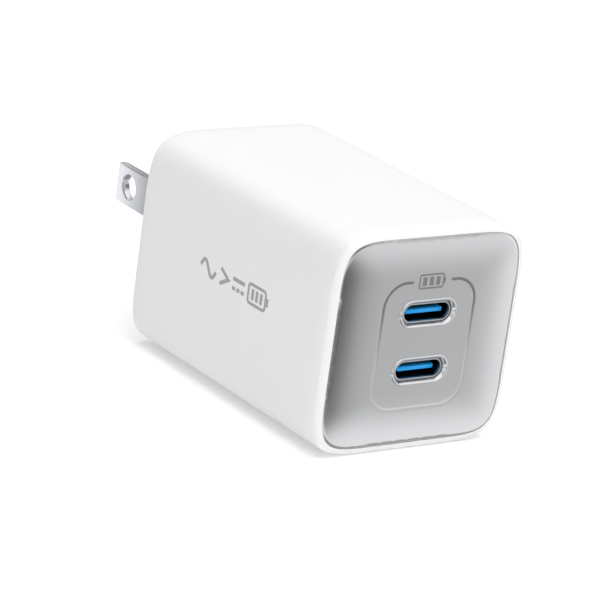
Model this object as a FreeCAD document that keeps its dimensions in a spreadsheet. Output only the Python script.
"""Compact two-port wall power adapter with a folding two-blade plug.

Millimetres. The origin is the middle of the flat underside. +Z is up, the front plate with the
two charging ports faces -Y, and the plug blades stand out of the rear face along +Y.
"""
import math
import FreeCAD
import Part
import Sketcher
import os

doc = FreeCAD.newDocument("wall_adapter")

# ---------------------------------------------------------------- driving dimensions
DIMENSIONS = {
    # outer body: a square block with soft corners
    "body_width": 35.5,
    "body_height": 35.3,
    "corner_size": 10.8,        # length of each soft corner along both sides
    "corner_handle": 0.874,     # share of corner_size that each Bezier handle takes
    "crease_y": -25.0,          # where the flanks end and the bezel begins
    "rear_y": 25.75,
    "side_wall": 1.8,
    "rear_wall": 2.0,
    "part_gap": 0.05,           # play between pieces that are glued or clipped
    # front cap and its bezel
    "bezel_inset": 1.15,
    "bezel_depth": 0.75,
    "cap_corner": 8.72,
    "cap_seat_y": -25.15,       # floor that the plate is glued to
    "cap_wall_y": -23.6,
    "cap_skirt_y": -21.0,
    "cap_skirt_wall": 1.2,
    # front plate, crowned in two slopes
    "plate_gap": 0.08,
    "plate_edge_y": -25.68,
    "plate_shoulder_inset": 2.6,
    "plate_shoulder_y": -26.02,
    "plate_crown_inset": 7.0,
    "plate_crown_y": -26.2,
    # decorative groove round the ports, open at the top
    "groove_width": 16.9,
    "groove_height": 20.2,
    "groove_corner": 3.8,
    "groove_line": 0.45,
    "groove_depth": 0.12,
    "groove_drop": 0.5,
    "groove_opening": 7.0,
    # charging ports
    "port_pitch": 9.13,
    "trim_width": 10.5,
    "trim_height": 4.4,
    "trim_front_y": -26.5,
    "trim_collar": 0.35,        # how far the collar stands in from the flange
    "trim_rounding": 0.22,
    "trim_lead_in": 0.32,
    "shell_width": 8.94,
    "shell_height": 3.16,
    "shell_sheet": 0.3,
    "shell_front_y": -25.9,
    "shell_tab": 1.2,
    "tongue_width": 6.7,
    "tongue_thick": 0.7,
    "tongue_front_y": -25.1,
    "tongue_root_y": -20.4,
    "contact_pitch": 0.5,
    "contact_width": 0.25,
    "contact_length": 3.6,
    "contact_foil": 0.05,
    # circuit boards
    "board_thick": 1.2,
    "output_board_y": -18.2,
    "output_board_width": 26.0,
    "output_board_low": 4.2,
    "output_board_high": 31.0,
    "main_board_z": 5.0,
    "main_board_width": 29.6,
    "main_board_front": -16.9,
    "main_board_rear": 17.4,
    "rail_reach": 2.9,
    "rail_thick": 1.2,
    "link_pin": 0.6,
    "link_pitch": 2.54,
    # transformer on the main board
    "core_x": 4.6,
    "core_y": -3.6,
    "core_width": 19.0,
    "core_depth": 12.0,
    "core_height": 18.0,
    "core_lift": 2.0,
    "core_yoke": 3.0,
    "core_leg_radius": 3.5,
    "bobbin_bore_gap": 0.2,
    "bobbin_wall": 0.8,
    "bobbin_flange": 0.8,
    "bobbin_depth": 16.0,
    "winding_build": 1.4,
    "tape_build": 0.2,
    # round parts on the boards
    "bulk_radius": 4.4,
    "bulk_length": 18.0,
    "bulk_x": -9.6,
    "bulk_front_y": -9.4,
    "bulk_pitch": 9.6,
    "polymer_radius": 3.15,
    "polymer_length": 9.0,
    "polymer_x": 4.5,
    "polymer_z": 29.7,
    "fuse_radius": 1.8,
    "fuse_length": 9.0,
    "choke_x": 6.5,
    "choke_y": 9.5,
    "choke_radius": 4.4,        # centre line of the ring core
    "choke_wall": 1.5,          # half the ring's thickness
    "choke_wire": 0.7,
    "heel_point_length": 0.7,
    "heel_point_slant": 1.45,
    "screw_recess_radius": 0.7,
    "screw_recess_depth": 0.6,
    "screw_length": 5.0,
    "spring_low_z": 10.8,
    "spring_step_z": 11.1,
    "spring_tail_half": 0.8,
    "spring_tail_sheet": 0.3,
    "tab_slot_half_width": 0.25,
    "tab_slot_half_height": 0.7,
    # folding plug
    "plug_x": -5.29,
    "hinge_y": 22.3,
    "hinge_z": 21.6,
    "blade_spacing": 12.7,
    "blade_width": 6.35,
    "blade_thick": 1.5,
    "blade_reach": 20.25,       # from the hinge line to the tip
    "blade_hole_radius": 2.1,
    "blade_hole_inset": 3.87,
    "blade_bevel_depth": 0.3,
    "blade_bevel_length": 0.95,
    "blade_corner": 0.25,
    "blade_shank": 4.0,
    "blade_shoulder": 2.4,
    "blade_heel": 3.2,
    "rocker_radius": 3.3,
    "rocker_length": 18.0,
    "trunnion_radius": 1.4,
    "trunnion_length": 1.0,
    "turning_gap": 0.15,
    "slot_gap": 0.3,            # on each side of a blade in its channel
    "slot_floor_z": 1.05,
    "scoop_radius": 9.0,
    "scoop_depth": 1.3,
    "scoop_z": 7.0,
    # cradle that carries the plug, screwed to the rear wall
    "cradle_wall": 1.2,
    "cradle_back_y": 17.6,
    "cradle_foot_z": 1.95,
    "screw_radius": 0.95,
    "screw_boss_radius": 2.2,
    "screw_head_radius": 1.8,
    "screw_head": 1.3,
    "ear_y": 18.1,
    "ear_thick": 1.5,
    # contact springs
    "spring_width": 2.2,
    "spring_sheet": 0.3,
    "spring_nose": 0.9,
}

dims = doc.addObject("Spreadsheet::Sheet", "dims")
for row, (alias, number) in enumerate(DIMENSIONS.items(), start=1):
    dims.set(f"A{row}", alias)
    dims.set(f"B{row}", str(number))
    dims.setAlias(f"B{row}", alias)
doc.recompute()

# ---------------------------------------------------------------- shared working functions
QUARTER_TURN = math.pi / 2
subparts = []


def keep(piece, label):
    """Mark a finished object as a sub-part and give it the label that names its file."""
    piece.Label = label
    subparts.append(piece)
    return piece


def value(expression):
    """The number that an expression over the sheet gives."""
    return float(dims.evalExpression(expression))


def place(piece, x="0", y="0", z="0"):
    """Bind a piece's position to three expressions."""
    piece.setExpression("Placement.Base.x", x)
    piece.setExpression("Placement.Base.y", y)
    piece.setExpression("Placement.Base.z", z)
    return piece


def block(name, low, high):
    """A box from its low corner to its high corner, each three expressions."""
    box = doc.addObject("Part::Box", name)
    for side, start, end in zip(("Length", "Width", "Height"), low, high):
        box.setExpression(side, f"({end}) - ({start})")
    return place(box, *low)


TURNS = {
    "x": FreeCAD.Rotation(FreeCAD.Vector(0, 1, 0), 90),
    "y": FreeCAD.Rotation(FreeCAD.Vector(1, 0, 0), -90),
    "z": FreeCAD.Rotation(),
}


def rod(name, start, axis, radius, length):
    """A cylinder that runs from a start point along +x, +y or +z."""
    cylinder = doc.addObject("Part::Cylinder", name)
    cylinder.Placement = FreeCAD.Placement(FreeCAD.Vector(), TURNS[axis])
    cylinder.setExpression("Radius", radius)
    cylinder.setExpression("Height", length)
    return place(cylinder, *start)


def fuse(name, *pieces):
    joined = doc.addObject("Part::MultiFuse", name)
    joined.Shapes = list(pieces)
    return joined


def cut(name, base, *tools):
    """The base less one or more tools."""
    result = doc.addObject("Part::Cut", name)
    result.Base = base
    result.Tool = tools[0] if len(tools) == 1 else fuse(f"{name}_tools", *tools)
    return result


def group(name, *pieces):
    """Separate solids that are kept together as one sub-part."""
    compound = doc.addObject("Part::Compound", name)
    compound.Links = list(pieces)
    return compound


def prism(name, outline, low_y, high_y):
    """An outline that stands in the XZ plane, drawn out along Y between two expressions."""
    outline.setExpression("Placement.Base.y", low_y)
    solid = doc.addObject("Part::Extrusion", name)
    solid.Base = outline
    solid.DirMode = "Custom"
    solid.Dir = FreeCAD.Vector(0, 1, 0)
    solid.Solid = True
    solid.setExpression("LengthFwd", f"({high_y}) - ({low_y})")
    return solid


# ---------------------------------------------------------------- outlines
BODY_MIDDLE = "dims.body_height / 2"
UPRIGHT = FreeCAD.Rotation(FreeCAD.Vector(1, 0, 0), 90)


def soft_square(name, inset, corner, y):
    """The body's outline moved in by an inset: straight sides and Bezier corners.

    The long handles make each corner start almost straight, so no edge shows where it begins.
    """
    half_x = value(f"dims.body_width / 2 - ({inset})")
    half_z = value(f"dims.body_height / 2 - ({inset})")
    reach = value(corner)
    handle = reach * (1 - value("dims.corner_handle"))
    edges = []
    for turn_x, turn_z in ((1, 1), (-1, 1), (-1, -1), (1, -1)):
        side = FreeCAD.Vector(turn_x * half_x, 0, turn_z * (half_z - reach))
        side_handle = FreeCAD.Vector(turn_x * half_x, 0, turn_z * (half_z - handle))
        top_handle = FreeCAD.Vector(turn_x * (half_x - handle), 0, turn_z * half_z)
        top = FreeCAD.Vector(turn_x * (half_x - reach), 0, turn_z * half_z)
        poles = [side, side_handle, top_handle, top]
        if turn_x != turn_z:
            poles.reverse()
        if edges:
            last = edges[-1].Vertexes[-1].Point
            edges.append(Part.LineSegment(last, poles[0]).toShape())
        curve = Part.BezierCurve()
        curve.setPoles(poles)
        edges.append(curve.toShape())
    first = edges[0].Vertexes[0].Point
    last = edges[-1].Vertexes[-1].Point
    edges.append(Part.LineSegment(last, first).toShape())
    outline = doc.addObject("Part::Feature", name)
    outline.Shape = Part.Wire(edges)
    return place(outline, "0", y, BODY_MIDDLE)


def soft_prism(name, inset, corner, low_y, high_y):
    return prism(name, soft_square(f"{name}_outline", inset, corner, low_y), low_y, high_y)


def soft_taper(name, sections):
    """A solid with flat flanks through several soft squares: (inset, corner, y) each."""
    loft = doc.addObject("Part::Loft", name)
    loft.Sections = [
        soft_square(f"{name}_section_{number}", *section)
        for number, section in enumerate(sections)
    ]
    loft.Ruled = True
    loft.Solid = True
    return loft


def upright_sketch(name, centre_x, centre_z):
    """An empty sketch whose x runs along +X and whose y runs along +Z."""
    sketch = doc.addObject("Sketcher::SketchObject", name)
    sketch.Placement = FreeCAD.Placement(FreeCAD.Vector(), UPRIGHT)
    return place(sketch, centre_x, "0", centre_z)


def name_datum(sketch, name, kind, arguments, expression):
    """Add one named dimension to a sketch and bind it to an expression."""
    number = sketch.addConstraint(Sketcher.Constraint(kind, *arguments, value(expression)))
    sketch.renameConstraint(number, name)
    sketch.setExpression(f"Constraints.{name}", expression)


def oval_outline(name, width, height, centre_x, centre_z):
    """A lying oval with two straight sides and two half-round ends."""
    radius = value(height) / 2
    reach = value(width) / 2 - radius
    up = FreeCAD.Vector(0, 0, 1)
    sketch = upright_sketch(name, centre_x, centre_z)
    sketch.addGeometry([
        Part.LineSegment(FreeCAD.Vector(-reach, -radius, 0), FreeCAD.Vector(reach, -radius, 0)),
        Part.ArcOfCircle(Part.Circle(FreeCAD.Vector(reach, 0, 0), up, radius), -QUARTER_TURN, QUARTER_TURN),
        Part.LineSegment(FreeCAD.Vector(reach, radius, 0), FreeCAD.Vector(-reach, radius, 0)),
        Part.ArcOfCircle(
            Part.Circle(FreeCAD.Vector(-reach, 0, 0), up, radius), QUARTER_TURN, 3 * QUARTER_TURN),
    ])
    sketch.addConstraint([
        Sketcher.Constraint("Tangent", 0, 2, 1, 1),
        Sketcher.Constraint("Tangent", 1, 2, 2, 1),
        Sketcher.Constraint("Tangent", 2, 2, 3, 1),
        Sketcher.Constraint("Tangent", 3, 2, 0, 1),
        Sketcher.Constraint("Horizontal", 0),
        Sketcher.Constraint("Symmetric", 1, 3, 3, 3, -1, 1),
    ])
    name_datum(sketch, "end_radius", "Radius", (1,), f"({height}) / 2")
    name_datum(sketch, "straight", "DistanceX", (0, 1, 0, 2), f"({width}) - ({height})")
    return sketch


def oval_prism(name, width, height, centre_z, low_y, high_y):
    return prism(name, oval_outline(f"{name}_outline", width, height, "0", centre_z), low_y, high_y)


def rounded_outline(name, width, height, radius, centre_x, centre_z):
    """An upright rectangle with round corners."""
    half_x = value(width) / 2
    half_y = value(height) / 2
    turn = value(radius)
    up = FreeCAD.Vector(0, 0, 1)
    corners = ((1, -1, -QUARTER_TURN), (1, 1, 0.0), (-1, 1, QUARTER_TURN), (-1, -1, 2 * QUARTER_TURN))
    sketch = upright_sketch(name, centre_x, centre_z)
    for side_x, side_y, start in corners:
        middle = FreeCAD.Vector(side_x * (half_x - turn), side_y * (half_y - turn), 0)
        sketch.addGeometry(Part.ArcOfCircle(Part.Circle(middle, up, turn), start, start + QUARTER_TURN))
    for arc in range(4):
        end = sketch.getPoint(arc, 2)
        start = sketch.getPoint((arc + 1) % 4, 1)
        sketch.addGeometry(Part.LineSegment(end, start))
    for arc in range(4):
        sketch.addConstraint(Sketcher.Constraint("Tangent", arc, 2, 4 + arc, 1))
        sketch.addConstraint(Sketcher.Constraint("Tangent", 4 + arc, 2, (arc + 1) % 4, 1))
    sketch.addConstraint([
        Sketcher.Constraint("Equal", 0, 1),
        Sketcher.Constraint("Equal", 0, 2),
        Sketcher.Constraint("Equal", 0, 3),
        Sketcher.Constraint("Vertical", 4),
        Sketcher.Constraint("Horizontal", 5),
        Sketcher.Constraint("Symmetric", 0, 3, 2, 3, -1, 1),
    ])
    name_datum(sketch, "corner", "Radius", (0,), radius)
    name_datum(sketch, "across", "DistanceX", (2, 3, 1, 3), f"({width}) - 2 * ({radius})")
    name_datum(sketch, "upward", "DistanceY", (0, 3, 1, 3), f"({height}) - 2 * ({radius})")
    return sketch


# ---------------------------------------------------------------- PartDesign helpers
def new_body(name, x="0", y="0", z="0"):
    return place(doc.addObject("PartDesign::Body", name), x, y, z)


def body_sketch(body, name, role):
    """An empty sketch on one of the body's own origin planes."""
    sketch = body.newObject("Sketcher::SketchObject", name)
    plane = next(item for item in body.Origin.OriginFeatures if item.Role == role)
    sketch.AttachmentSupport = [(plane, "")]
    sketch.MapMode = "FlatFace"
    return sketch


def draw_loop(sketch, points):
    """A closed loop of straight lines through points that are pairs of expressions."""
    numbers = [FreeCAD.Vector(value(across), value(up), 0) for across, up in points]
    count = len(numbers)
    first = sketch.GeometryCount
    for here in range(count):
        sketch.addGeometry(Part.LineSegment(numbers[here], numbers[(here + 1) % count]))
    for here in range(count):
        join = Sketcher.Constraint("Coincident", first + here, 2, first + (here + 1) % count, 1)
        sketch.addConstraint(join)
    for here, (across, up) in enumerate(points):
        start = (-1, 1, first + here, 1)
        name_datum(sketch, f"across_{first + here}", "DistanceX", start, across)
        name_datum(sketch, f"up_{first + here}", "DistanceY", start, up)


def draw_circle(sketch, across, up, radius):
    """A circle whose centre and radius are bound to expressions."""
    centre = FreeCAD.Vector(value(across), value(up), 0)
    number = sketch.addGeometry(Part.Circle(centre, FreeCAD.Vector(0, 0, 1), value(radius)))
    name_datum(sketch, f"centre_x_{number}", "DistanceX", (-1, 1, number, 3), across)
    name_datum(sketch, f"centre_y_{number}", "DistanceY", (-1, 1, number, 3), up)
    name_datum(sketch, f"radius_{number}", "Radius", (number,), radius)


def pad(body, sketch, name, length, midplane=False):
    feature = body.newObject("PartDesign::Pad", name)
    feature.Profile = sketch
    feature.setExpression("Length", length)
    feature.Midplane = midplane
    doc.recompute()
    return feature


def pocket_through(body, sketch, name):
    """Cut a sketch through the whole body, both ways, and make sure that it removed something."""
    before = body.Shape.Volume
    feature = body.newObject("PartDesign::Pocket", name)
    feature.Profile = sketch
    feature.Type = "ThroughAll"
    feature.Midplane = True
    doc.recompute()
    if body.Shape.Volume >= before:
        raise RuntimeError(f"{name} cut nothing")
    return feature


# ---------------------------------------------------------------- places shared by several pieces
SIDES = {"line": -1, "neutral": 1}
PORTS = {"upper": 1, "lower": -1}


def blade_x(side):
    return f"dims.plug_x + {SIDES[side]} * dims.blade_spacing / 2"


def port_z(port):
    return f"{BODY_MIDDLE} + {PORTS[port]} * dims.port_pitch / 2"


REAR_INSIDE = "dims.rear_y - dims.rear_wall"
MAIN_TOP = "dims.main_board_z + dims.board_thick"
OUTPUT_BACK = "dims.output_board_y + dims.board_thick"
ROCKER_HALF = "(dims.rocker_length / 2 + dims.turning_gap)"
SLOT_HALF = "(dims.blade_thick / 2 + dims.slot_gap)"
POCKET_HALF = "(dims.rocker_radius + dims.turning_gap)"
SCREW_PLACES = {
    "low": ("8.3", "9"),
    "high": ("8.3", "24"),
    "top": ("dims.plug_x", "29.4"),
}


# ---------------------------------------------------------------- folding plug
def make_blade(side):
    """A flat brass blade: wide outside the rocker, a narrower shank and heel inside it."""
    name = f"blade_{side}"
    body = new_body(name, blade_x(side), "dims.hinge_y", "dims.hinge_z")
    sketch = body_sketch(body, f"{name}_outline", "YZ_Plane")
    wide = "dims.blade_width / 2"
    narrow = "dims.blade_shank / 2"
    tip = "dims.blade_reach"
    draw_loop(sketch, [
        ("-dims.blade_heel + dims.heel_point_length", f"-{narrow}"),
        ("dims.blade_shoulder", f"-{narrow}"),
        ("dims.blade_shoulder", f"-{wide}"),
        (f"{tip} - dims.blade_corner", f"-{wide}"),
        (tip, f"-{wide} + dims.blade_corner"),
        (tip, f"{wide} - dims.blade_corner"),
        (f"{tip} - dims.blade_corner", wide),
        ("dims.blade_shoulder", wide),
        ("dims.blade_shoulder", narrow),
        ("-dims.blade_heel + dims.heel_point_length", narrow),
        ("-dims.blade_heel", f"{narrow} - dims.heel_point_slant"),
        ("-dims.blade_heel", f"-{narrow} + dims.heel_point_slant"),
    ])
    pad(body, sketch, f"{name}_sheet", "dims.blade_thick", midplane=True)
    hole = body_sketch(body, f"{name}_hole_outline", "YZ_Plane")
    draw_circle(hole, "dims.blade_reach - dims.blade_hole_inset", "0", "dims.blade_hole_radius")
    pocket_through(body, hole, f"{name}_hole")
    add_tip_bevel(body, name)
    return keep(body, name)


def add_tip_bevel(body, name):
    """Thin the blade's tip on both flat sides, by two slanted cuts, so that it finds the socket."""
    sketch = body_sketch(body, f"{name}_bevel_outline", "XY_Plane")
    face = "dims.blade_thick / 2"
    start = "dims.blade_reach - dims.blade_bevel_length"
    beyond = "dims.blade_reach + dims.blade_bevel_length"
    for side in ("", "-"):
        draw_loop(sketch, [
            (f"{side}({face})", start),
            (f"{side}({face} - 2 * dims.blade_bevel_depth)", beyond),
            (f"{side}({face} + 1)", beyond),
            (f"{side}({face} + 1)", start),
        ])
    pocket_through(body, sketch, f"{name}_bevel")


def make_rocker(blades):
    """The white barrel that turns with the blades: round behind, square where it shows."""
    body = new_body("rocker_solid", "dims.plug_x", "dims.hinge_y", "dims.hinge_z")
    radius = value("dims.rocker_radius")
    sketch = body_sketch(body, "rocker_profile", "YZ_Plane")
    origin = FreeCAD.Vector()
    circle = Part.Circle(origin, FreeCAD.Vector(0, 0, 1), radius)
    sketch.addGeometry([
        Part.ArcOfCircle(circle, QUARTER_TURN, 4 * QUARTER_TURN),
        Part.LineSegment(FreeCAD.Vector(radius, 0, 0), FreeCAD.Vector(radius, radius, 0)),
        Part.LineSegment(FreeCAD.Vector(radius, radius, 0), FreeCAD.Vector(0, radius, 0)),
    ])
    sketch.addConstraint([
        Sketcher.Constraint("Coincident", 0, 3, -1, 1),
        Sketcher.Constraint("Tangent", 0, 2, 1, 1),
        Sketcher.Constraint("Coincident", 1, 2, 2, 1),
        Sketcher.Constraint("Tangent", 2, 2, 0, 1),
        Sketcher.Constraint("Vertical", 1),
        Sketcher.Constraint("Horizontal", 2),
    ])
    name_datum(sketch, "barrel", "Radius", (0,), "dims.rocker_radius")
    pad(body, sketch, "rocker_barrel", "dims.rocker_length", midplane=True)
    trunnion = body_sketch(body, "trunnion_profile", "YZ_Plane")
    draw_circle(trunnion, "0", "0", "dims.trunnion_radius")
    pad(body, trunnion, "trunnions", "dims.rocker_length + 2 * dims.trunnion_length", midplane=True)
    return keep(cut("plug_rocker", body, *blades), "plug_rocker")


def cradle_block(name, half_x, low_z, high_z, low_y="dims.cradle_back_y", middle="dims.plug_x"):
    high_y = f"{REAR_INSIDE} - dims.part_gap"
    low = (f"{middle} - ({half_x})", low_y, low_z)
    high = (f"{middle} + ({half_x})", high_y, high_z)
    return block(name, low, high)


def blade_channel(name, side, low_y, low_z):
    """The space that one folded blade needs, with slot_gap to spare."""
    low = (f"{blade_x(side)} - {SLOT_HALF}", low_y, low_z)
    high = (f"{blade_x(side)} + {SLOT_HALF}", "dims.rear_y + 1", "dims.hinge_z")
    return block(name, low, high)


def rocker_space(name, low_y):
    low = (f"dims.plug_x - {ROCKER_HALF}", low_y, f"dims.hinge_z - {POCKET_HALF}")
    high = (f"dims.plug_x + {ROCKER_HALF}", "dims.rear_y + 1", f"dims.hinge_z + {POCKET_HALF}")
    return block(name, low, high)


def make_cradle():
    """The inner moulding behind the rear wall: bearings, blade channels and screw ears."""
    pocket_floor = f"dims.hinge_y - {POCKET_HALF}"
    ledge = f"dims.hinge_z - {POCKET_HALF} - dims.cradle_wall"
    roof = f"dims.hinge_z + {POCKET_HALF} + dims.cradle_wall"
    solids = [cradle_block("cradle_top", f"{ROCKER_HALF} + 1.3", ledge, roof)]
    hollows = [rocker_space("cradle_pocket", pocket_floor)]
    for side in SIDES:
        solids.append(cradle_block(
            f"cradle_channel_{side}", f"{SLOT_HALF} + 1", "dims.cradle_foot_z", ledge,
            middle=blade_x(side)))
        hollows.append(blade_channel(f"cradle_slot_{side}", side, pocket_floor, "0"))
        window = (f"{blade_x(side)} - {SLOT_HALF} - 0.3", "dims.cradle_back_y - 1", "dims.hinge_z - 1.3")
        window_end = (f"{blade_x(side)} + {SLOT_HALF} + 0.3", pocket_floor, "dims.hinge_z + 1.3")
        hollows.append(block(f"cradle_window_{side}", window, window_end))
    solids.append(cradle_block(
        "cradle_web", "dims.blade_spacing / 2", "dims.cradle_foot_z", ledge,
        low_y=f"{REAR_INSIDE} - 1.5"))
    journal = "dims.trunnion_radius + dims.part_gap"
    across = f"dims.rocker_length + 2 * dims.trunnion_length + 4"
    left = f"dims.plug_x - ({across}) / 2"
    right = f"dims.plug_x + ({across}) / 2"
    hollows.append(rod("journal_round", (left, "dims.hinge_y", "dims.hinge_z"), "x", journal, across))
    hollows.append(block(
        "journal_mouth",
        (left, "dims.hinge_y", f"dims.hinge_z - ({journal})"),
        (right, "dims.rear_y", f"dims.hinge_z + ({journal})")))
    ear_end = "dims.ear_y + dims.ear_thick"
    ears = {
        "low": (("2", "5.6"), ("11.2", "12.4")),
        "high": (("5", "20.6"), ("11.2", "26")),
        "top": (("dims.plug_x - 3", "26"), ("dims.plug_x + 3", "32")),
    }
    for place_name, (low, high) in ears.items():
        solids.append(block(
            f"ear_{place_name}", (low[0], "dims.ear_y", low[1]), (high[0], ear_end, high[1])))
        x, z = SCREW_PLACES[place_name]
        hollows.append(rod(
            f"ear_hole_{place_name}", (x, "dims.ear_y - 1", z), "y",
            "dims.screw_radius + 0.15", "dims.ear_thick + 2"))
    limits = soft_prism(
        "cradle_limits", "dims.side_wall + 0.15", "dims.corner_size - dims.side_wall",
        "dims.cradle_back_y - 1", "dims.rear_y")
    inside = doc.addObject("Part::Common", "cradle_inside")
    inside.Base = fuse("cradle_solids", *solids)
    inside.Tool = limits
    return keep(cut("plug_cradle", inside, *hollows), "plug_cradle")


def make_cradle_screws():
    """Three pan-head screws that hold the cradle to the bosses of the rear wall."""
    screws = []
    for place_name, (x, z) in SCREW_PLACES.items():
        head_y = "dims.ear_y - dims.screw_head"
        head = rod(f"screw_head_{place_name}", (x, head_y, z), "y",
                   "dims.screw_head_radius", "dims.screw_head")
        shank = rod(f"screw_shank_{place_name}", (x, head_y, z), "y",
                    "dims.screw_radius", "dims.screw_length")
        socket = rod(f"screw_recess_{place_name}", (x, head_y, z), "y",
                     "dims.screw_recess_radius", "dims.screw_recess_depth")
        screws.append(cut(f"screw_{place_name}", fuse(f"screw_solid_{place_name}", head, shank), socket))
    return keep(group("cradle_screws", *screws), "cradle_screws")


def make_contact_spring(side):
    """A bronze leaf that presses on the blade's heel and is soldered into the main board."""
    name = f"contact_spring_{side}"
    low_x = f"{blade_x(side)} - dims.spring_width / 2"
    high_x = f"{blade_x(side)} + dims.spring_width / 2"
    back = "dims.cradle_back_y - dims.spring_sheet"
    tail_low_x = f"{blade_x(side)} - dims.spring_tail_half"
    tail_high_x = f"{blade_x(side)} + dims.spring_tail_half"
    tail_y = "dims.main_board_rear - 1"
    leaf = block(
        f"{name}_leaf",
        (low_x, back, "dims.spring_low_z"),
        (high_x, "dims.cradle_back_y", "dims.hinge_z + 3"))
    tail = block(
        f"{name}_tail",
        (tail_low_x, tail_y, "dims.main_board_z - 0.8"),
        (tail_high_x, f"{tail_y} + dims.spring_tail_sheet", "dims.spring_step_z"))
    step = block(
        f"{name}_step",
        (tail_low_x, tail_y, "dims.spring_low_z"),
        (tail_high_x, "dims.cradle_back_y", "dims.spring_step_z"))
    nose = rod(
        f"{name}_nose", (low_x, f"{back} + 0.65", "dims.hinge_z"), "x",
        "dims.spring_nose", "dims.spring_width")
    return keep(fuse(name, leaf, step, tail, nose), name)


# ---------------------------------------------------------------- housing, cap and plate
def make_housing():
    """The deep white moulding: four flanks and the rear wall with the plug's openings."""
    outer = soft_prism("housing_outer", "0", "dims.corner_size", "dims.crease_y", "dims.rear_y")
    cavity = soft_prism(
        "housing_cavity", "dims.side_wall", "dims.corner_size - dims.side_wall",
        "dims.crease_y - 1", REAR_INSIDE)
    shell = cut("housing_shell", outer, cavity)
    inside = [shell]
    for side in (-1, 1):
        outer_x = f"{side} * (dims.body_width / 2 - 1.2)"
        inner_x = f"{side} * (dims.body_width / 2 - dims.side_wall - dims.rail_reach)"
        left, right = (outer_x, inner_x) if side < 0 else (inner_x, outer_x)
        under = "dims.main_board_z - dims.part_gap"
        inside.append(block(
            f"rail_under_{side + 1}",
            (left, "dims.main_board_front + 0.4", f"{under} - dims.rail_thick"),
            (right, "16.4", under)))
    for place_name, (x, z) in SCREW_PLACES.items():
        start = "dims.ear_y + dims.ear_thick + dims.part_gap"
        inside.append(rod(
            f"boss_{place_name}", (x, start, z), "y", "dims.screw_boss_radius",
            f"{REAR_INSIDE} + 0.5 - ({start})"))
    window_y = f"{REAR_INSIDE} - dims.part_gap / 2"
    openings = [rocker_space("rear_window", window_y)]
    for side in SIDES:
        channel_floor = f"dims.hinge_y - {POCKET_HALF}"
        openings.append(blade_channel(f"rear_slot_{side}", side, channel_floor, "dims.slot_floor_z"))
    scoop_half = f"(dims.blade_spacing / 2 - {SLOT_HALF} + 0.1)"
    openings.append(rod(
        "finger_scoop",
        (f"dims.plug_x - {scoop_half}", "dims.rear_y + dims.scoop_radius - dims.scoop_depth", "dims.scoop_z"),
        "x", "dims.scoop_radius", f"2 * {scoop_half}"))
    for place_name, (x, z) in SCREW_PLACES.items():
        openings.append(rod(
            f"boss_hole_{place_name}", (x, "dims.ear_y", z), "y",
            "dims.screw_radius + dims.part_gap", "5.4"))
    return keep(cut("housing", fuse("housing_solids", *inside), *openings), "housing")


def port_openings(name, width, height, low_y, high_y):
    """One oval space for each port."""
    return [oval_prism(f"{name}_{port}", width, height, port_z(port), low_y, high_y) for port in PORTS]


def make_front_cap():
    """The white end cap: sloping bezel, wall with port openings, and a skirt glued inside."""
    rim_y = "dims.crease_y - dims.bezel_depth"
    rim = soft_taper("cap_rim", [
        ("0", "dims.corner_size", "dims.crease_y"),
        ("dims.bezel_inset", "dims.cap_corner", rim_y),
    ])
    skirt_inset = "dims.side_wall + dims.part_gap"
    skirt_corner = "dims.corner_size - dims.side_wall"
    skirt = soft_prism("cap_skirt", skirt_inset, skirt_corner, "dims.crease_y - 0.01", "dims.cap_skirt_y")
    hollow = soft_prism(
        "cap_hollow", f"{skirt_inset} + dims.cap_skirt_wall", f"{skirt_corner} - dims.cap_skirt_wall",
        "dims.cap_wall_y", "dims.cap_skirt_y + 1")
    seat = soft_prism(
        "cap_seat", "dims.bezel_inset + 0.04", "dims.cap_corner", f"{rim_y} - 1", "dims.cap_seat_y")
    ports = port_openings(
        "cap_port", "dims.trim_width - 2 * dims.trim_collar + 0.2",
        "dims.trim_height - 2 * dims.trim_collar + 0.2", "dims.crease_y - 2", "dims.cap_wall_y + 1")
    return keep(cut("front_cap", fuse("cap_solids", rim, skirt), hollow, seat, *ports), "front_cap")


def make_front_plate():
    """The silver plate: a thin crowned sheet with two port openings and a shallow groove."""
    inset = "dims.bezel_inset + 0.04 + dims.plate_gap"
    base = soft_prism("plate_base", inset, "dims.cap_corner", "dims.plate_edge_y", "dims.cap_seat_y")
    crown = soft_taper("plate_crown", [
        (inset, "dims.cap_corner", "dims.plate_edge_y"),
        (f"{inset} + dims.plate_shoulder_inset", "dims.cap_corner - dims.plate_shoulder_inset",
         "dims.plate_shoulder_y"),
        (f"{inset} + dims.plate_crown_inset", "dims.cap_corner - dims.plate_crown_inset",
         "dims.plate_crown_y"),
    ])
    groove_z = f"{BODY_MIDDLE} - dims.groove_drop"
    groove_y = "dims.plate_crown_y + dims.groove_depth"
    outer = prism("groove_outer", rounded_outline(
        "groove_outer_outline", "dims.groove_width + dims.groove_line",
        "dims.groove_height + dims.groove_line", "dims.groove_corner + dims.groove_line / 2",
        "0", groove_z), "dims.plate_crown_y - 1", groove_y)
    inner = prism("groove_inner", rounded_outline(
        "groove_inner_outline", "dims.groove_width - dims.groove_line",
        "dims.groove_height - dims.groove_line", "dims.groove_corner - dims.groove_line / 2",
        "0", groove_z), "dims.plate_crown_y - 2", f"{groove_y} + 1")
    opening = block(
        "groove_opening",
        ("-dims.groove_opening / 2", "dims.plate_crown_y - 2", BODY_MIDDLE),
        ("dims.groove_opening / 2", f"{groove_y} + 1", "dims.body_height"))
    groove = cut("plate_groove", outer, inner, opening)
    ports = port_openings(
        "plate_port", "dims.trim_width - 2 * dims.trim_collar + 0.1",
        "dims.trim_height - 2 * dims.trim_collar + 0.1", "dims.plate_crown_y - 1", "dims.crease_y + 1")
    return keep(cut("front_plate", fuse("plate_solids", base, crown), groove, *ports), "front_plate")


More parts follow.
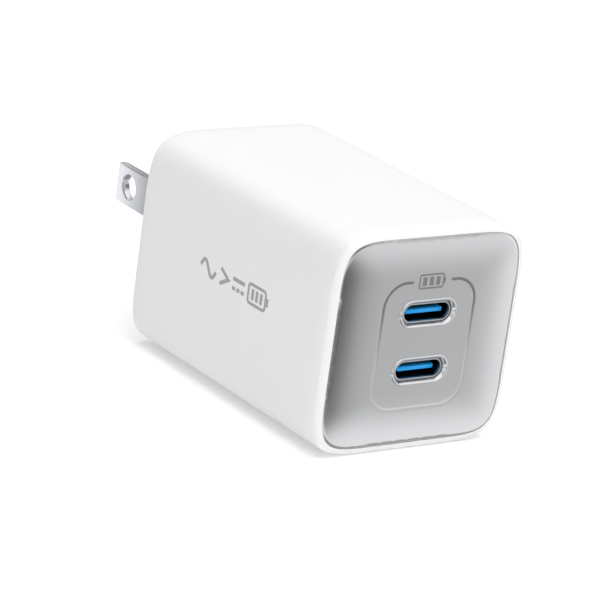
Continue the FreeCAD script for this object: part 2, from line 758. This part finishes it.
# ---------------------------------------------------------------- charging ports
def front_edges(ring, middle, width, height):
    """Numbers of the ring's front edges that run along an oval of this width and height."""
    front = value("dims.trim_front_y")
    half_width = value(f"({width}) / 2")
    half_height = value(f"({height}) / 2")
    numbers = []
    for number, edge in enumerate(ring.Shape.Edges, start=1):
        box = edge.BoundBox
        flat = abs(box.YMin - front) < 0.001 and abs(box.YMax - front) < 0.001
        reach = max(abs(box.XMin), abs(box.XMax))
        rise = max(abs(box.ZMin - value(middle)), abs(box.ZMax - value(middle)))
        on_oval = abs(rise - half_height) < 0.01 and reach < half_width + 0.01
        if flat and on_oval:
            numbers.append(number)
    return numbers


def make_port_trim(port):
    """The chrome lip: a rounded flange on the plate and a collar that goes through it."""
    name = f"port_trim_{port}"
    middle = port_z(port)
    flange = oval_prism(
        f"{name}_flange", "dims.trim_width", "dims.trim_height", middle,
        "dims.trim_front_y", "dims.plate_crown_y")
    step = oval_prism(
        f"{name}_collar", "dims.trim_width - 2 * dims.trim_collar",
        "dims.trim_height - 2 * dims.trim_collar", middle, "dims.plate_crown_y - 0.1", "dims.cap_seat_y")
    bore = oval_prism(
        f"{name}_bore", "dims.shell_width + 2 * dims.part_gap", "dims.shell_height + 2 * dims.part_gap",
        middle, "dims.trim_front_y - 1", "dims.cap_wall_y")
    ring = cut(f"{name}_ring", fuse(f"{name}_solids", flange, step), bore)
    doc.recompute()
    inside = front_edges(
        ring, middle, "dims.shell_width + 2 * dims.part_gap", "dims.shell_height + 2 * dims.part_gap")
    lead_in = doc.addObject("Part::Chamfer", f"{name}_lead_in")
    lead_in.Base = ring
    lead_in.Edges = [(number, value("dims.trim_lead_in"), value("dims.trim_lead_in")) for number in inside]
    doc.recompute()
    outside = front_edges(lead_in, middle, "dims.trim_width", "dims.trim_height")
    lip = doc.addObject("Part::Fillet", name)
    lip.Base = lead_in
    lip.Edges = [(number, value("dims.trim_rounding"), value("dims.trim_rounding")) for number in outside]
    return keep(lip, name)


def make_port_shell(port):
    """The stainless oval tube of a port with two tabs that are soldered into the board."""
    name = f"port_shell_{port}"
    middle = port_z(port)
    front, back = "dims.shell_front_y", "dims.output_board_y"
    tube = cut(
        f"{name}_tube",
        oval_prism(f"{name}_outside", "dims.shell_width", "dims.shell_height", middle, front, back),
        oval_prism(
            f"{name}_inside", "dims.shell_width - 2 * dims.shell_sheet",
            "dims.shell_height - 2 * dims.shell_sheet", middle, f"{front} - 1", f"{back} + 1"))
    tabs = []
    for side in (-1, 1):
        outer_x = f"{side} * dims.shell_width / 2"
        inner_x = f"{side} * (dims.shell_width / 2 - dims.shell_sheet)"
        left, right = (outer_x, inner_x) if side < 0 else (inner_x, outer_x)
        tabs.append(block(
            f"{name}_tab_{side + 1}",
            (left, f"{back} - 1", f"{middle} - dims.shell_tab / 2"),
            (right, f"{OUTPUT_BACK} + 0.4", f"{middle} + dims.shell_tab / 2")))
    return keep(fuse(name, tube, *tabs), name)


def make_port_tongue(port):
    """The blue plastic insert: a block that fills the shell's back and the tongue in front."""
    name = f"port_tongue_{port}"
    middle = port_z(port)
    root = oval_prism(
        f"{name}_root", "dims.shell_width - 2 * dims.shell_sheet - 0.02",
        "dims.shell_height - 2 * dims.shell_sheet - 0.02", middle,
        "dims.tongue_root_y", "dims.output_board_y")
    half_width = "dims.tongue_width / 2"
    half_thick = "dims.tongue_thick / 2"
    blade = block(
        f"{name}_blade",
        (f"-{half_width}", "dims.tongue_front_y", f"{middle} - {half_thick}"),
        (half_width, "dims.tongue_root_y + 0.5", f"{middle} + {half_thick}"))
    return keep(fuse(name, root, blade), name)


def make_port_contacts(port):
    """Twelve gold strips above the tongue and twelve below it."""
    name = f"port_contacts_{port}"
    strips = []
    for face in (-1, 1):
        surface = f"{port_z(port)} + {face} * dims.tongue_thick / 2"
        low_z = surface if face > 0 else f"{surface} - dims.contact_foil"
        for number in range(12):
            x = f"({number} - 5.5) * dims.contact_pitch - dims.contact_width / 2"
            strips.append(block(
                f"{name}_{face + 1}_{number}",
                (x, "dims.tongue_front_y + 0.45", low_z),
                (f"{x} + dims.contact_width", "dims.tongue_front_y + 0.45 + dims.contact_length",
                 f"{low_z} + dims.contact_foil")))
    return keep(group(name, *strips), name)


# ---------------------------------------------------------------- circuit boards
def link_pin_x(number):
    return f"({number} - 2.5) * dims.link_pitch - dims.link_pin / 2"


def make_output_board():
    """The upright board behind the ports, slotted for the shell tabs and the link pins."""
    board = block(
        "output_board_sheet",
        ("-dims.output_board_width / 2", "dims.output_board_y", "dims.output_board_low"),
        ("dims.output_board_width / 2", OUTPUT_BACK, "dims.output_board_high"))
    slots = []
    for port in PORTS:
        for side in (-1, 1):
            x = f"{side} * (dims.shell_width - dims.shell_sheet) / 2"
            slots.append(block(
                f"tab_slot_{port}_{side + 1}",
                (f"{x} - dims.tab_slot_half_width", "dims.output_board_y - 1",
                 f"{port_z(port)} - dims.tab_slot_half_height"),
                (f"{x} + dims.tab_slot_half_width", f"{OUTPUT_BACK} + 1",
                 f"{port_z(port)} + dims.tab_slot_half_height")))
    for number in range(6):
        x = link_pin_x(number)
        slots.append(block(
            f"output_pin_hole_{number}",
            (f"{x} - 0.05", "dims.output_board_y - 1", "7.15"),
            (f"{x} + dims.link_pin + 0.05", f"{OUTPUT_BACK} + 1", "7.85")))
    return keep(cut("output_board", board, *slots), "output_board")


def make_main_board():
    """The board along the bottom, with holes for the link pins and the spring tails."""
    body = new_body("main_board", z="dims.main_board_z")
    sketch = body_sketch(body, "main_board_outline", "XY_Plane")
    half = "dims.main_board_width / 2"
    front, rear = "dims.main_board_front", "dims.main_board_rear"
    draw_loop(sketch, [
        (f"-{half} + 2", front),
        (f"{half} - 2", front),
        (half, f"{front} + 2"),
        (half, rear),
        (f"-{half}", rear),
        (f"-{half}", f"{front} + 2"),
    ])
    pad(body, sketch, "main_board_sheet", "dims.board_thick")
    holes = body_sketch(body, "main_board_holes", "XY_Plane")
    for number in range(6):
        x = link_pin_x(number)
        draw_loop(holes, [
            (f"{x} - 0.05", "-15.05"),
            (f"{x} + dims.link_pin + 0.05", "-15.05"),
            (f"{x} + dims.link_pin + 0.05", "-14.35"),
            (f"{x} - 0.05", "-14.35"),
        ])
    for side in SIDES:
        draw_loop(holes, [
            (f"{blade_x(side)} - 0.9", f"{rear} - 1.05"),
            (f"{blade_x(side)} + 0.9", f"{rear} - 1.05"),
            (f"{blade_x(side)} + 0.9", f"{rear} - 0.65"),
            (f"{blade_x(side)} - 0.9", f"{rear} - 0.65"),
        ])
    pocket_through(body, holes, "main_board_slots")
    return keep(body, "main_board")


def make_board_link():
    """A row of right-angle pins through a plastic block that joins the two boards."""
    pins = []
    holes = []
    for number in range(6):
        x = link_pin_x(number)
        end_x = f"{x} + dims.link_pin"
        lying = block(f"pin_lying_{number}", (x, "-19", "7.2"), (end_x, "-14.4", "7.8"))
        standing = block(f"pin_standing_{number}", (x, "-15", "4.3"), (end_x, "-14.4", "7.8"))
        pins.append(fuse(f"link_pin_{number}", lying, standing))
        holes.append(block(f"pin_space_{number}", (x, "-19", "7.2"), (end_x, "-14", "7.8")))
    housing = block("link_block_solid", ("-7.6", OUTPUT_BACK, MAIN_TOP), ("7.6", "-15.3", "8.7"))
    keep(cut("board_link_block", housing, *holes), "board_link_block")
    return keep(group("board_link_pins", *pins), "board_link_pins")


# ---------------------------------------------------------------- transformer
CORE_LOW = f"{MAIN_TOP} + dims.core_lift"
CORE_MIDDLE = f"{CORE_LOW} + dims.core_height / 2"
CORE_TOP = f"{CORE_LOW} + dims.core_height"


def make_core_half(name, yoke_low, yoke_high, leg_low, leg_high):
    """One E-shaped ferrite half: a yoke, two outer legs and a round centre leg."""
    half_x = "dims.core_width / 2"
    half_y = "dims.core_depth / 2"
    low_y, high_y = f"dims.core_y - {half_y}", f"dims.core_y + {half_y}"
    yoke = block(
        f"{name}_yoke",
        (f"dims.core_x - {half_x}", low_y, yoke_low),
        (f"dims.core_x + {half_x}", high_y, yoke_high))
    left = block(
        f"{name}_left",
        (f"dims.core_x - {half_x}", low_y, leg_low),
        (f"dims.core_x - {half_x} + dims.core_yoke", high_y, leg_high))
    right = block(
        f"{name}_right",
        (f"dims.core_x + {half_x} - dims.core_yoke", low_y, leg_low),
        (f"dims.core_x + {half_x}", high_y, leg_high))
    centre = rod(
        f"{name}_centre", ("dims.core_x", "dims.core_y", leg_low), "z",
        "dims.core_leg_radius", f"({leg_high}) - ({leg_low})")
    return keep(fuse(name, yoke, left, right, centre), name)


def ring(name, inner, outer, low_z, high_z):
    """An upright tube round the transformer's centre leg."""
    length = f"({high_z}) - ({low_z})"
    middle = ("dims.core_x", "dims.core_y")
    return cut(
        name,
        rod(f"{name}_outside", (*middle, low_z), "z", outer, length),
        rod(f"{name}_inside", (*middle, f"{low_z} - 1"), "z", inner, f"{length} + 2"))


def make_transformer():
    make_core_half("transformer_core_lower", CORE_LOW, f"{CORE_LOW} + dims.core_yoke", CORE_LOW, CORE_MIDDLE)
    make_core_half("transformer_core_upper", f"{CORE_TOP} - dims.core_yoke", CORE_TOP, CORE_MIDDLE, CORE_TOP)
    bore = "dims.core_leg_radius + dims.bobbin_bore_gap"
    drum = f"{bore} + dims.bobbin_wall"
    low = f"{CORE_LOW} + dims.core_yoke + 0.1"
    high = f"{CORE_TOP} - dims.core_yoke - 0.1"
    tube = ring("bobbin_tube", bore, drum, low, high)
    solids = [tube]
    flange_half = "dims.core_width / 2 - dims.core_yoke - 0.1"
    for name, start, end in (
        ("low", low, f"{low} + dims.bobbin_flange"),
        ("high", f"{high} - dims.bobbin_flange", high),
    ):
        sheet = block(
            f"bobbin_flange_{name}_sheet",
            (f"dims.core_x - ({flange_half})", "dims.core_y - dims.bobbin_depth / 2", start),
            (f"dims.core_x + ({flange_half})", "dims.core_y + dims.bobbin_depth / 2", end))
        eye = rod(f"bobbin_eye_{name}", ("dims.core_x", "dims.core_y", f"{start} - 1"), "z", bore, "4")
        solids.append(cut(f"bobbin_flange_{name}", sheet, eye))
    for end in (-1, 1):
        outer_y = f"dims.core_y + {end} * dims.bobbin_depth / 2"
        inner_y = f"dims.core_y + {end} * (dims.core_depth / 2 + 0.1)"
        low_y, high_y = (outer_y, inner_y) if end < 0 else (inner_y, outer_y)
        solids.append(block(
            f"bobbin_foot_{end + 1}",
            (f"dims.core_x - ({flange_half})", low_y, MAIN_TOP),
            (f"dims.core_x + ({flange_half})", high_y, f"{low} + dims.bobbin_flange")))
    keep(fuse("transformer_bobbin", *solids), "transformer_bobbin")
    wound_low = f"{low} + dims.bobbin_flange"
    wound_high = f"{high} - dims.bobbin_flange"
    wound = f"{drum} + dims.winding_build"
    keep(ring("transformer_winding", drum, wound, wound_low, wound_high), "transformer_winding")
    keep(ring("transformer_tape", wound, f"{wound} + dims.tape_build", wound_low, wound_high),
         "transformer_tape")


# ---------------------------------------------------------------- parts on the boards
def make_can(name, start, axis, radius, length):
    """A round metal capacitor can with a crimp groove near its foot."""
    body = new_body(name, *start)
    sketch = body_sketch(body, f"{name}_profile", "XZ_Plane")
    crimp = f"{radius} - 0.35"
    draw_loop(sketch, [
        ("0", "0"),
        (radius, "0"),
        (radius, "1.2"),
        (crimp, "1.5"),
        (crimp, "1.9"),
        (radius, "2.2"),
        (radius, f"{length} - 0.5"),
        (f"{radius} - 0.5", length),
        ("0", length),
    ])
    turned = body.newObject("PartDesign::Revolution", f"{name}_turned")
    turned.Profile = sketch
    turned.ReferenceAxis = (sketch, ["V_Axis"])
    turned.Angle = 360
    if axis != "z":
        body.Placement = FreeCAD.Placement(FreeCAD.Vector(), TURNS[axis])
        place(body, *start)
    return keep(body, name)


def make_capacitors():
    for number in range(2):
        y = f"dims.bulk_front_y + {number} * dims.bulk_pitch"
        make_can(f"bulk_capacitor_{number + 1}", ("dims.bulk_x", y, MAIN_TOP), "z",
                 "dims.bulk_radius", "dims.bulk_length")
    for number, side in enumerate((-1, 1), start=1):
        make_can(
            f"output_capacitor_{number}",
            (f"{side} * dims.polymer_x", OUTPUT_BACK, "dims.polymer_z"), "y",
            "dims.polymer_radius", "dims.polymer_length")


def make_choke():
    """The ring core of the input choke and its two windings, each over a third of the ring."""
    middle = ("dims.choke_x", "dims.choke_y", f"{MAIN_TOP} + dims.choke_radius + dims.choke_wall + 1")
    turn = FreeCAD.Placement(FreeCAD.Vector(), FreeCAD.Rotation(FreeCAD.Vector(1, 0, 0), 90))
    core = doc.addObject("Part::Torus", "choke_core")
    core.Placement = turn
    core.setExpression("Radius1", "dims.choke_radius")
    core.setExpression("Radius2", "dims.choke_wall")
    keep(place(core, *middle), "choke_core")
    for name, start, end in (("left", 125, 235), ("right", -55, 55)):
        sheath = doc.addObject("Part::Torus", f"choke_sheath_{name}")
        rotation = FreeCAD.Rotation(FreeCAD.Vector(0, 1, 0), -start).multiply(turn.Rotation)
        sheath.Placement = FreeCAD.Placement(FreeCAD.Vector(), rotation)
        sheath.setExpression("Radius1", "dims.choke_radius")
        sheath.setExpression("Radius2", "dims.choke_wall + dims.choke_wire")
        sheath.Angle3 = end - start
        place(sheath, *middle)
        keep(cut(f"choke_winding_{name}", sheath, core), f"choke_winding_{name}")


def make_fuse():
    """A glass-tube fuse lying across the board between two plated end caps."""
    y, z = "14.25", f"{MAIN_TOP} + dims.fuse_radius + 0.4"
    start = "-13.2"
    tube = rod("fuse_tube", (start, y, z), "x", "dims.fuse_radius - 0.15", "dims.fuse_length")
    caps = [
        rod("fuse_cap_left", (start, y, z), "x", "dims.fuse_radius", "2"),
        rod("fuse_cap_right", (f"{start} + dims.fuse_length - 2", y, z), "x", "dims.fuse_radius", "2"),
    ]
    return keep(fuse("input_fuse", tube, *caps), "input_fuse")


def make_small_parts():
    """The rectangular parts, each a moulded body in its place on or under a board."""
    under = "dims.main_board_z"
    places = {
        "suppression_capacitor": (("-14", "6.2", MAIN_TOP), ("-3.4", "12", "17")),
        "bridge_rectifier": (("4.5", "13", MAIN_TOP), ("12.5", "16.2", "8.6")),
        "power_switch": (("-3", "4", f"{under} - 1.4"), ("3", "10", under)),
        "primary_controller": (("-9", "-3", f"{under} - 1"), ("-5", "1", under)),
        "opto_isolator": (("4", "-6", f"{under} - 1.8"), ("8.6", "-2", under)),
        "output_rectifier": (("-7", OUTPUT_BACK, "14.5"), ("-1", f"{OUTPUT_BACK} + 1.1", "19.5")),
        "insulation_sheet": (("14.6", "-14", "8"), ("14.9", "15", "26")),
        "heat_spreader": (("-10", "-12", "2"), ("10", "14", "2.6")),
        "thermal_pad": (("-3.5", "3.5", "2.6"), ("3.5", "10.5", f"{under} - 1.4")),
    }
    for name, (low, high) in places.items():
        keep(block(name, low, high), name)


# ---------------------------------------------------------------- build, check and write
def check_document():
    """Stop if any object failed to recompute or any sub-part isn't a valid solid."""
    for item in doc.Objects:
        if "Invalid" in item.State or "Error" in item.State:
            raise RuntimeError(f"{item.Name} failed: {item.State}")
    for piece in subparts:
        if piece.Shape.isNull() or not piece.Shape.isValid() or not piece.Shape.Solids:
            raise RuntimeError(f"{piece.Label} is not a valid solid")


make_housing()
make_front_cap()
make_front_plate()
for port in PORTS:
    make_port_trim(port)
    make_port_shell(port)
    make_port_tongue(port)
    make_port_contacts(port)
make_output_board()
make_main_board()
make_board_link()
make_transformer()
make_capacitors()
make_choke()
make_fuse()
make_small_parts()
make_cradle()
make_cradle_screws()
blades = [make_blade(side) for side in SIDES]
make_rocker(blades)
for side in SIDES:
    make_contact_spring(side)

doc.recompute()
check_document()

os.makedirs("parts", exist_ok=True)
for piece in subparts:
    piece.Shape.exportStep(f"parts/{piece.Label}.step")
    print(f"{piece.Label:28s} {len(piece.Shape.Solids):3d} solids {piece.Shape.Volume:10.2f} mm3")
